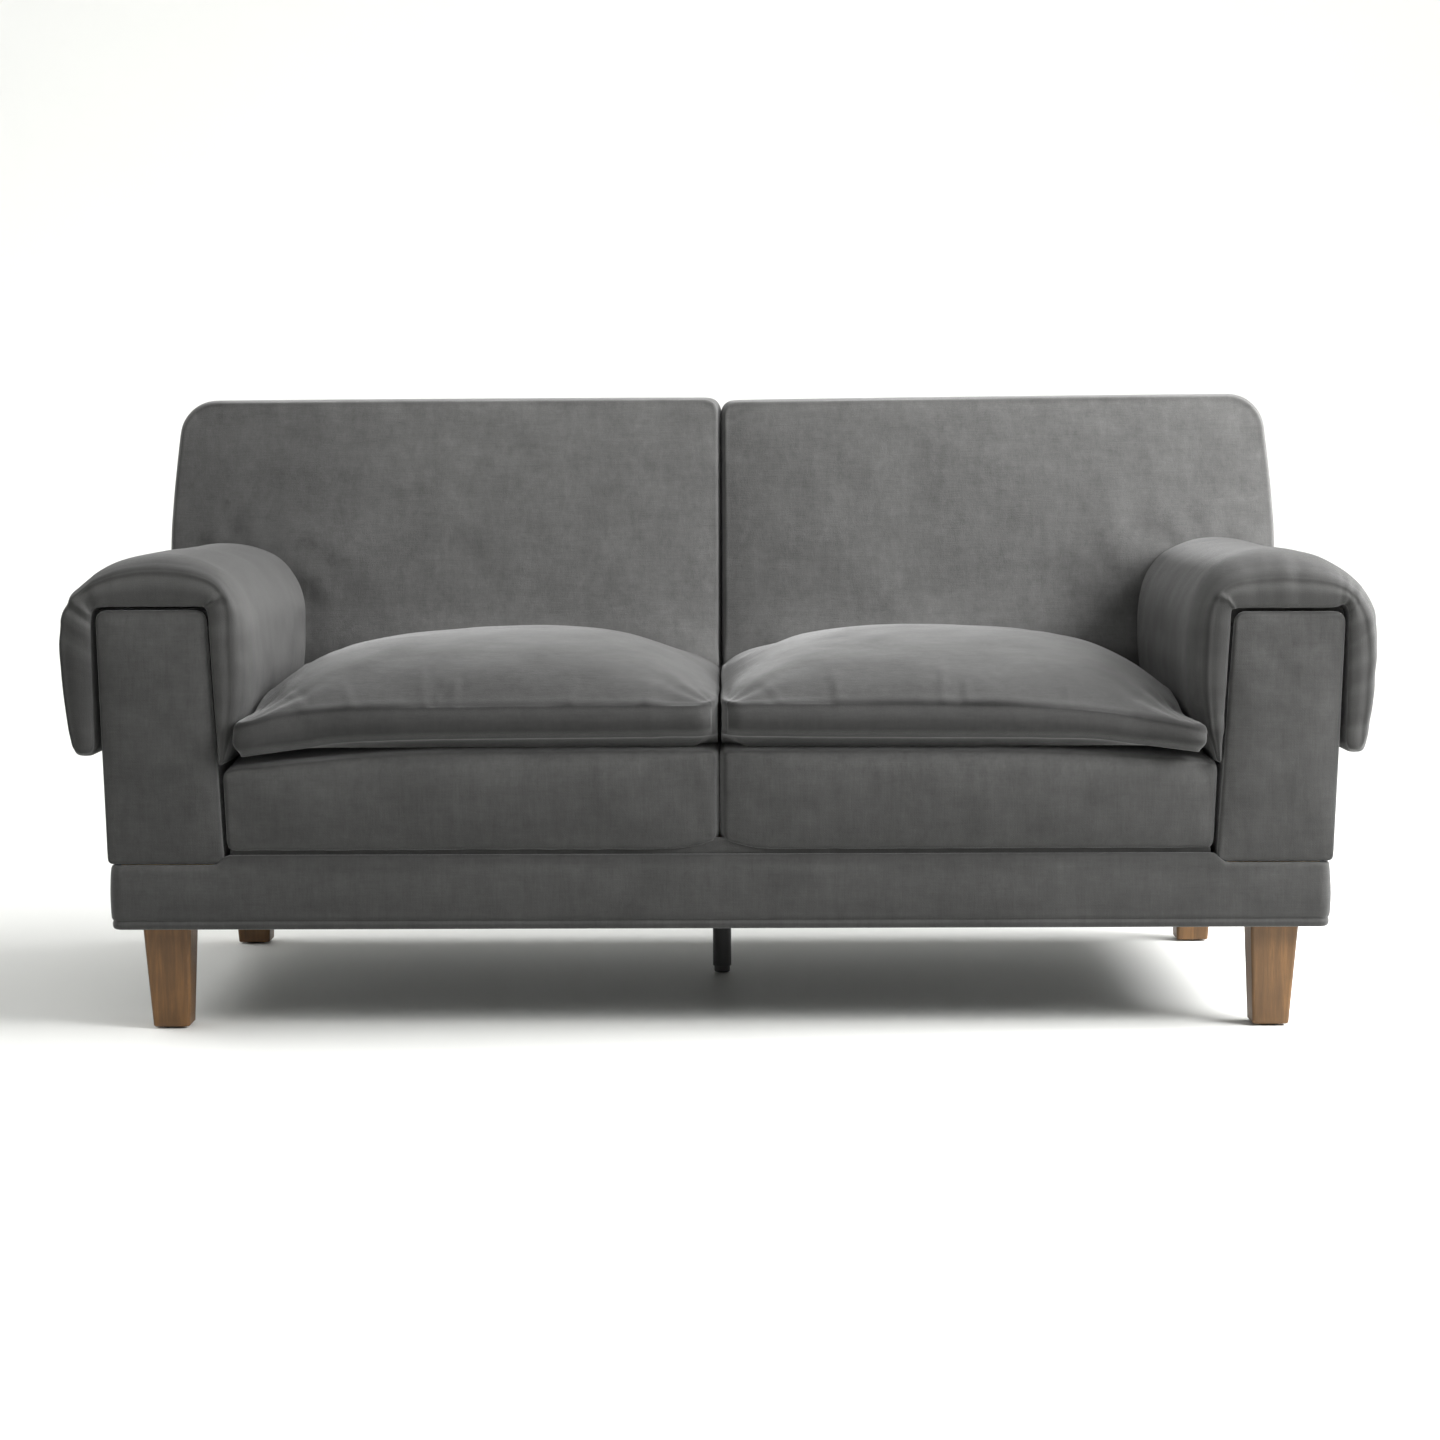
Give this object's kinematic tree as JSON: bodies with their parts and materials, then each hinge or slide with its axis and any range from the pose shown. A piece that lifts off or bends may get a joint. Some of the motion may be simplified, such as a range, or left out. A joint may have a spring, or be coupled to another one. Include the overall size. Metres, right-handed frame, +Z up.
{
  "type": "two-seat sofa",
  "caption": "Upholstered two-seat sofa with loose seat cushions, saddle pads hanging over the arms, a split back, tapered wooden legs and a centre support leg.",
  "frame": {"origin": "on the floor under the middle of the overall box", "axes": "+X along the width to the viewer's right, -Y out of the front, +Z up"},
  "size_m": [1.797, 0.88, 0.875],
  "materials": {
    "upholstery": "dense woven upholstery cloth, matt with a slight sheen",
    "leg_wood": "brown stained wood, satin",
    "frame_wood": "raw pine and plywood",
    "black_metal": "black powder coat",
    "steel": "zinc plated",
    "black_plastic": "moulded",
    "black_cloth": "non-woven cloth and webbing"
  },
  "bodies": {
    "root": {"arm_front_panel_left": "upholstery", "arm_front_panel_right": "upholstery", "arm_grip_strips": "black_cloth", "arm_inner_panel_left": "upholstery", "arm_inner_panel_right": "upholstery", "arm_outer_panel_left": "upholstery", "arm_outer_panel_right": "upholstery", "arm_posts_left": "frame_wood", "arm_posts_right": "frame_wood", "arm_rails_left": "frame_wood", "arm_rails_right": "frame_wood", "arm_top_padding_left": "upholstery", "arm_top_padding_right": "upholstery", "back_cushion_left": "upholstery", "back_cushion_right": "upholstery", "back_posts_left": "frame_wood", "back_posts_right": "frame_wood", "back_rails_left": "frame_wood", "back_rails_right": "frame_wood", "back_rear_panel_left": "upholstery", "back_rear_panel_right": "upholstery", "back_webbing_left": "black_cloth", "back_webbing_right": "black_cloth", "base_center_rail": "frame_wood", "base_corner_blocks": "frame_wood", "base_cover_front": "upholstery", "base_cover_left": "upholstery", "base_cover_rear": "upholstery", "base_cover_right": "upholstery", "base_cross_rails": "frame_wood", "base_front_rail": "frame_wood", "base_rear_rail": "frame_wood", "base_side_rail_left": "frame_wood", "base_side_rail_right": "frame_wood", "center_leg_flange": "black_metal", "center_leg_nut": "black_metal", "center_support_leg": "black_metal", "dust_cover": "black_cloth", "frame_bolts": "steel", "leg_front_left": "leg_wood", "leg_front_right": "leg_wood", "leg_glides": "black_plastic", "leg_hanger_bolts": "steel", "leg_mounting_plates": "steel", "leg_plate_screws": "steel", "leg_rear_left": "leg_wood", "leg_rear_right": "leg_wood", "seat_deck_left": "upholstery", "seat_deck_right": "upholstery", "seat_frame_left": "frame_wood", "seat_frame_right": "frame_wood", "seat_front_band": "upholstery", "seat_springs_left": "steel", "seat_springs_right": "steel", "spring_clips": "steel"},
    "cushion_left": {"seat_cushion_left": "upholstery"},
    "cushion_right": {"seat_cushion_right": "upholstery"},
    "pad_left": {"arm_pad_left": "upholstery"},
    "pad_right": {"arm_pad_right": "upholstery"},
    "leveling_foot": {"center_leg_foot": "black_plastic"}
  },
  "joints": [
    {"name": "lift_cushion_left", "type": "slide", "parent": "root", "child": "cushion_left", "axis": [0, 0, 1], "range_m": [0, 0.3]},
    {"name": "lift_cushion_right", "type": "slide", "parent": "root", "child": "cushion_right", "axis": [0, 0, 1], "range_m": [0, 0.3]},
    {"name": "lift_pad_left", "type": "slide", "parent": "root", "child": "pad_left", "axis": [0, 0, 1], "range_m": [0, 0.28]},
    {"name": "lift_pad_right", "type": "slide", "parent": "root", "child": "pad_right", "axis": [0, 0, 1], "range_m": [0, 0.28]},
    {"name": "level_foot", "type": "slide", "parent": "root", "child": "leveling_foot", "axis": [0, 0, 1], "range_m": [0, 0.01]}
  ]
}
